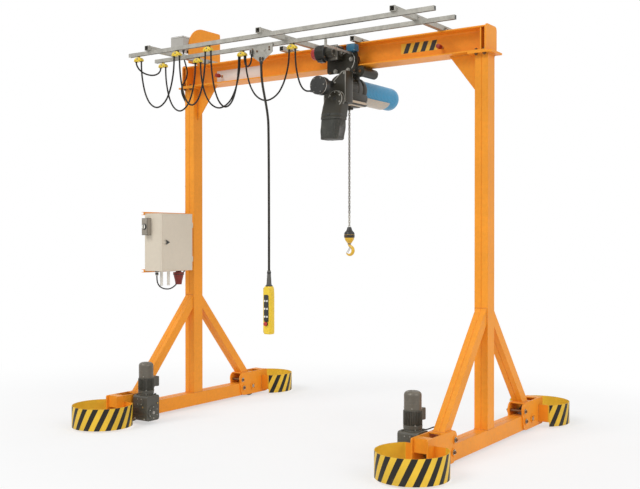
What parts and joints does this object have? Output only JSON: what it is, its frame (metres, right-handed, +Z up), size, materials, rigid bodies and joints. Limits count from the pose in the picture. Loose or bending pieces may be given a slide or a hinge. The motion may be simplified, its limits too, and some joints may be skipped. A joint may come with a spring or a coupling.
{
  "type": "gantry crane",
  "caption": "Small travelling gantry crane with an I-beam girder on two A-shaped legs, an electric chain hoist, a cable festoon, a pendant station and round wheel guards.",
  "frame": {"origin": "on the floor, at mid span and mid wheelbase", "axes": "+X along the girder, away from the cabinet leg; +Y across the girder, away from the cable rails; +Z up"},
  "size_m": [3.508, 2.808, 3.57],
  "materials": {
    "orange_paint": "gloss",
    "hazard_paint": "gloss",
    "dark_paint": "satin",
    "grey_paint": "satin",
    "blue_paint": "satin",
    "cabinet_paint": "satin",
    "yellow_paint": "satin",
    "zinc": "galvanized",
    "chain_steel": "satin",
    "tread": "matte",
    "red_rubber": "matte",
    "black_rubber": "matte",
    "yellow_plastic": "satin",
    "red_plastic": "gloss",
    "black_plastic": "matte",
    "grey_plastic": "matte",
    "bag_fabric": "woven"
  },
  "bodies": {
    "frame": {"girder": "orange_paint", "girder_end_plates": "orange_paint", "head_plates": "orange_paint", "haunch_gussets": "orange_paint", "housing_pins": "zinc", "cable_bracket": "orange_paint", "cable_conduit": "grey_plastic", "junction_box": "grey_plastic", "trolley_stops": "red_rubber", "festoon_rails": "zinc", "column_left": "orange_paint", "bottom_chord_left": "orange_paint", "travel_drive_left": "dark_paint", "braces_left": "orange_paint", "wheel_housings_left": "orange_paint", "wheel_guards_left": "hazard_paint", "column_right": "orange_paint", "bottom_chord_right": "orange_paint", "travel_drive_right": "dark_paint", "braces_right": "orange_paint", "wheel_housings_right": "orange_paint", "wheel_guards_right": "hazard_paint", "cross_arms": "zinc", "end_clamps": "yellow_plastic", "front_festoon_cable": "black_rubber", "inner_festoon_cable": "black_rubber", "cabinet": "cabinet_paint", "cabinet_struts": "orange_paint", "cabinet_fittings": "grey_plastic", "horn": "red_plastic", "frame_cables": "black_rubber"},
    "cabinet_door": {"cabinet_door": "cabinet_paint"},
    "wheel_left_front": {"wheel_left_front": "tread"},
    "wheel_left_rear": {"wheel_left_rear": "tread"},
    "wheel_right_front": {"wheel_right_front": "tread"},
    "wheel_right_rear": {"wheel_right_rear": "tread"},
    "hoist_trolley": {"trolley_plates": "dark_paint", "trolley_ties": "zinc", "trolley_drive": "dark_paint", "trolley_control": "blue_paint", "tow_arm": "zinc", "hoist_body": "grey_paint", "motor_cover": "blue_paint", "switch_box": "black_plastic", "chain_bag": "bag_fabric", "load_chain": "chain_steel"},
    "hook_block": {"hook_block": "dark_paint"},
    "hook": {"hook": "yellow_paint"},
    "pendant_trolley": {"pendant_trolley": "zinc", "pendant_cable": "black_rubber", "pendant_station": "yellow_plastic", "pendant_buttons": "black_plastic"},
    "front_carrier_1": {"front_carrier_1": "yellow_plastic"},
    "front_carrier_2": {"front_carrier_2": "yellow_plastic"},
    "inner_carrier_1": {"inner_carrier_1": "yellow_plastic"},
    "inner_carrier_2": {"inner_carrier_2": "yellow_plastic"},
    "inner_carrier_3": {"inner_carrier_3": "yellow_plastic"}
  },
  "joints": [
    {"name": "hoist_travel", "type": "slide", "parent": "frame", "child": "hoist_trolley", "axis": [1, 0, 0], "range_m": [-1.21, 0.712], "deforming": ["front_festoon_cable", "inner_festoon_cable"]},
    {"name": "hook_lift", "type": "slide", "parent": "hoist_trolley", "child": "hook_block", "axis": [0, 0, 1], "range_m": [-1.4, 0.97], "deforming": ["load_chain"]},
    {"name": "hook_swivel", "type": "hinge", "parent": "hook_block", "child": "hook", "pos_m": [0.264, 0, 1.5], "axis": [0, 0, 1], "continuous": true},
    {"name": "cabinet_door_hinge", "type": "hinge", "parent": "frame", "child": "cabinet_door", "pos_m": [-1.349, -0.185, 1.575], "axis": [0, 0, 1], "range_deg": [0, 105]},
    {"name": "front_carrier_1_travel", "type": "slide", "parent": "frame", "child": "front_carrier_1", "axis": [1, 0, 0], "range_m": [-0.3646, 0.2148]},
    {"name": "front_carrier_2_travel", "type": "slide", "parent": "frame", "child": "front_carrier_2", "axis": [1, 0, 0], "range_m": [-0.6286, 0.3701]},
    {"name": "inner_carrier_1_travel", "type": "slide", "parent": "frame", "child": "inner_carrier_1", "axis": [1, 0, 0], "range_m": [-0.3326, 0.196]},
    {"name": "inner_carrier_2_travel", "type": "slide", "parent": "frame", "child": "inner_carrier_2", "axis": [1, 0, 0], "range_m": [-0.7466, 0.4395]},
    {"name": "inner_carrier_3_travel", "type": "slide", "parent": "frame", "child": "inner_carrier_3", "axis": [1, 0, 0], "range_m": [-0.9356, 0.5508]},
    {"name": "pendant_travel", "type": "slide", "parent": "frame", "child": "pendant_trolley", "axis": [1, 0, 0], "range_m": [-0.7986, 0.4702]},
    {"name": "wheel_left_front_spin", "type": "hinge", "parent": "frame", "child": "wheel_left_front", "pos_m": [-1.5, -0.812, 0.1], "axis": [1, 0, 0], "continuous": true},
    {"name": "wheel_left_rear_spin", "type": "hinge", "parent": "frame", "child": "wheel_left_rear", "pos_m": [-1.5, 0.812, 0.1], "axis": [1, 0, 0], "continuous": true},
    {"name": "wheel_right_front_spin", "type": "hinge", "parent": "frame", "child": "wheel_right_front", "pos_m": [1.5, -0.812, 0.1], "axis": [1, 0, 0], "continuous": true},
    {"name": "wheel_right_rear_spin", "type": "hinge", "parent": "frame", "child": "wheel_right_rear", "pos_m": [1.5, 0.812, 0.1], "axis": [1, 0, 0], "continuous": true}
  ],
  "couplings": [
    {"joint": "front_carrier_1_travel", "follows": "hoist_travel", "ratio": 0.3008},
    {"joint": "front_carrier_2_travel", "follows": "hoist_travel", "ratio": 0.519},
    {"joint": "inner_carrier_1_travel", "follows": "hoist_travel", "ratio": 0.2744},
    {"joint": "inner_carrier_2_travel", "follows": "hoist_travel", "ratio": 0.6165},
    {"joint": "inner_carrier_3_travel", "follows": "hoist_travel", "ratio": 0.7727},
    {"joint": "pendant_travel", "follows": "hoist_travel", "ratio": 0.6595}
  ]
}
